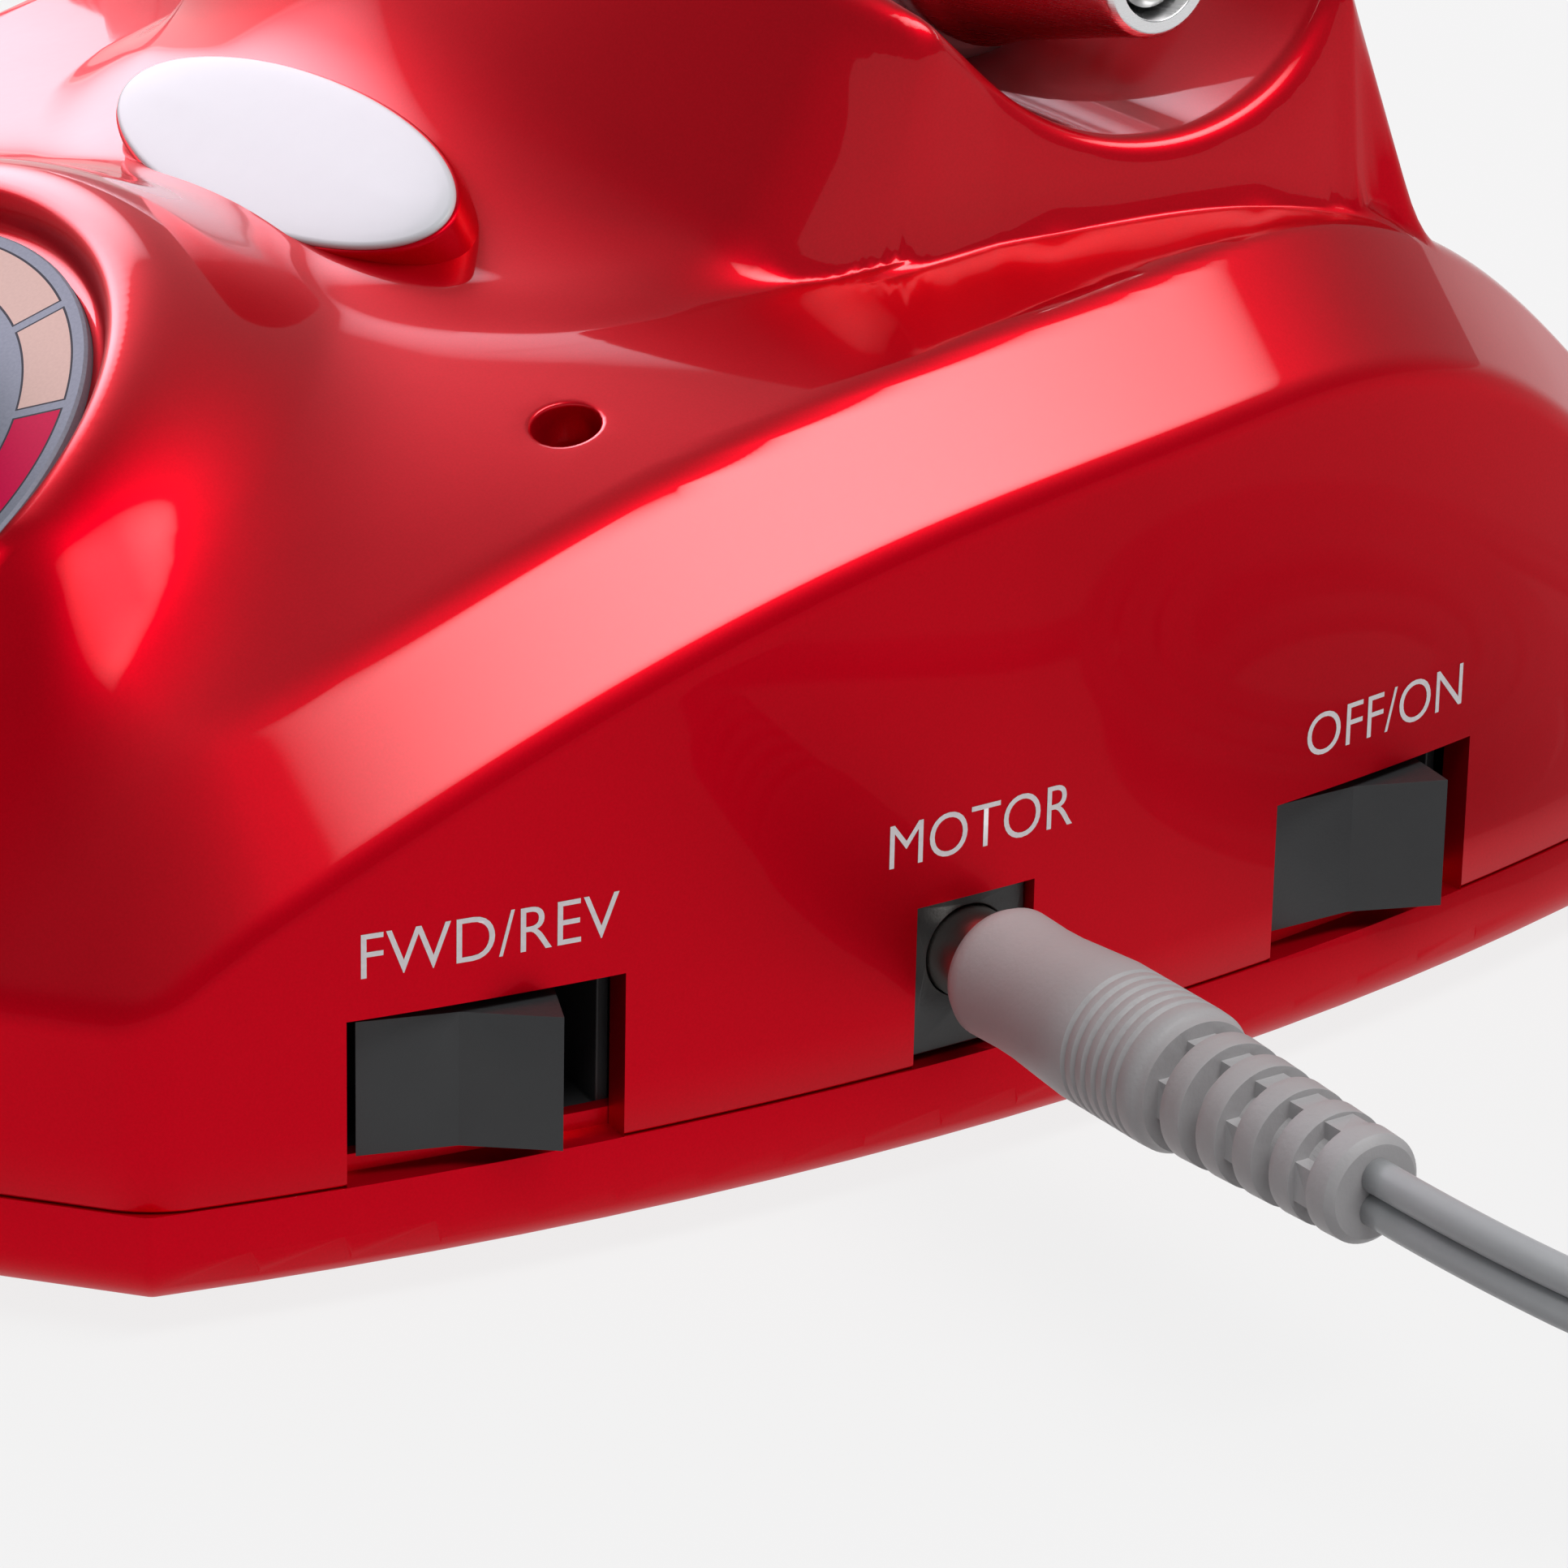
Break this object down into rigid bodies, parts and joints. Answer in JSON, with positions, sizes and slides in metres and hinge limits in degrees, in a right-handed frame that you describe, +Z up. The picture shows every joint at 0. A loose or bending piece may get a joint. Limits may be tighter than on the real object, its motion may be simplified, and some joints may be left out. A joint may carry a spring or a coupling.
{
  "type": "nail drill machine",
  "caption": "Table-top electric nail drill control box with a speed dial, rocker switches and a corded handpiece lying in its cradle.",
  "frame": {"origin": "on the surface that the feet stand on, in the box's plane of symmetry, half way between the nose of the box and its rear wall", "axes": "+Z up; -Y to the user, where the dial is; +X to the side with the switches and the motor jack"},
  "size_m": [0.2861, 0.1998, 0.0848],
  "materials": {
    "casing": "glossy candy red with metal flake",
    "foot_rubber": "matt",
    "screw_steel": "zinc plated",
    "plate_aluminium": "fine brushed",
    "sheet_metal": "plain",
    "nickel": "nickel plated",
    "knob": "satin black",
    "white_plate": "glossy",
    "lamp": "translucent red",
    "black_plastic": "fine grain",
    "plug_vinyl": "soft satin",
    "brass_pins": "plain",
    "circuit_board": "lacquered",
    "capacitor_sleeve": "shrink sleeve",
    "core_steel": "laminated",
    "winding_copper": "taped",
    "nose_metal": "satin",
    "lock_grey": "satin",
    "handpiece_white": "glossy",
    "cord_vinyl": "soft satin"
  },
  "bodies": {
    "base": {"upper_casing": "casing", "lower_casing": "casing", "rubber_feet": "foot_rubber", "casing_screws": "screw_steel", "dial_plate": "plate_aluminium", "potentiometer": "sheet_metal", "pot_nut": "nickel", "badge_plate": "white_plate", "pilot_lamp": "lamp", "reverse_switch_body": "black_plastic", "power_switch_body": "black_plastic", "motor_jack": "black_plastic", "jack_pin": "nickel", "plug_barrel": "nickel", "plug_overmould": "plug_vinyl", "mains_inlet": "black_plastic", "inlet_pins": "brass_pins", "fuse_holder": "black_plastic", "fuse_cap": "black_plastic", "foot_pedal_jack": "black_plastic", "pedal_jack_nut": "nickel", "control_board": "circuit_board", "board_screws": "screw_steel", "filter_capacitors": "capacitor_sleeve", "heat_sink": "plate_aluminium", "power_transistor": "black_plastic", "transformer_core": "core_steel", "transformer_winding": "winding_copper", "transformer_bracket": "sheet_metal", "bracket_screws": "screw_steel", "cord_coil": "cord_vinyl", "motor_cord": "cord_vinyl", "handpiece_cord": "cord_vinyl"},
    "knob": {"speed_knob": "knob", "pot_shaft": "nickel"},
    "reverse_rocker": {"reverse_rocker": "black_plastic"},
    "power_rocker": {"power_rocker": "black_plastic"},
    "handpiece": {"handpiece_housing": "handpiece_white", "nose_cone": "nose_metal", "handpiece_motor": "sheet_metal", "spindle_bearings": "nickel", "rear_cap": "handpiece_white", "cord_relief": "cord_vinyl"},
    "lock_ring": {"lock_ring": "lock_grey"},
    "spindle": {"spindle": "nickel"}
  },
  "joints": [
    {"name": "speed_dial", "type": "hinge", "parent": "base", "child": "knob", "pos_m": [0, -0.0512, 0.0422], "axis": [0, -0.4802, 0.8771], "range_deg": [-270, 0]},
    {"name": "reverse_switch", "type": "hinge", "parent": "base", "child": "reverse_rocker", "pos_m": [0.04989, -0.029, 0.0149], "axis": [0, 0, 1], "range_deg": [0, 40]},
    {"name": "power_switch", "type": "hinge", "parent": "base", "child": "power_rocker", "pos_m": [0.05266, 0.03983, 0.0149], "axis": [0, 0, 1], "range_deg": [0, 40]},
    {"name": "handpiece_lift", "type": "slide", "parent": "base", "child": "handpiece", "axis": [0, 0, 1], "range_m": [0, 0.025]},
    {"name": "chuck_lock", "type": "hinge", "parent": "handpiece", "child": "lock_ring", "pos_m": [0.0171, 0.031, 0.0738], "axis": [1, 0, 0], "range_deg": [0, 90]},
    {"name": "spindle_turn", "type": "hinge", "parent": "handpiece", "child": "spindle", "pos_m": [0.0171, 0.031, 0.0738], "axis": [1, 0, 0], "continuous": true}
  ]
}
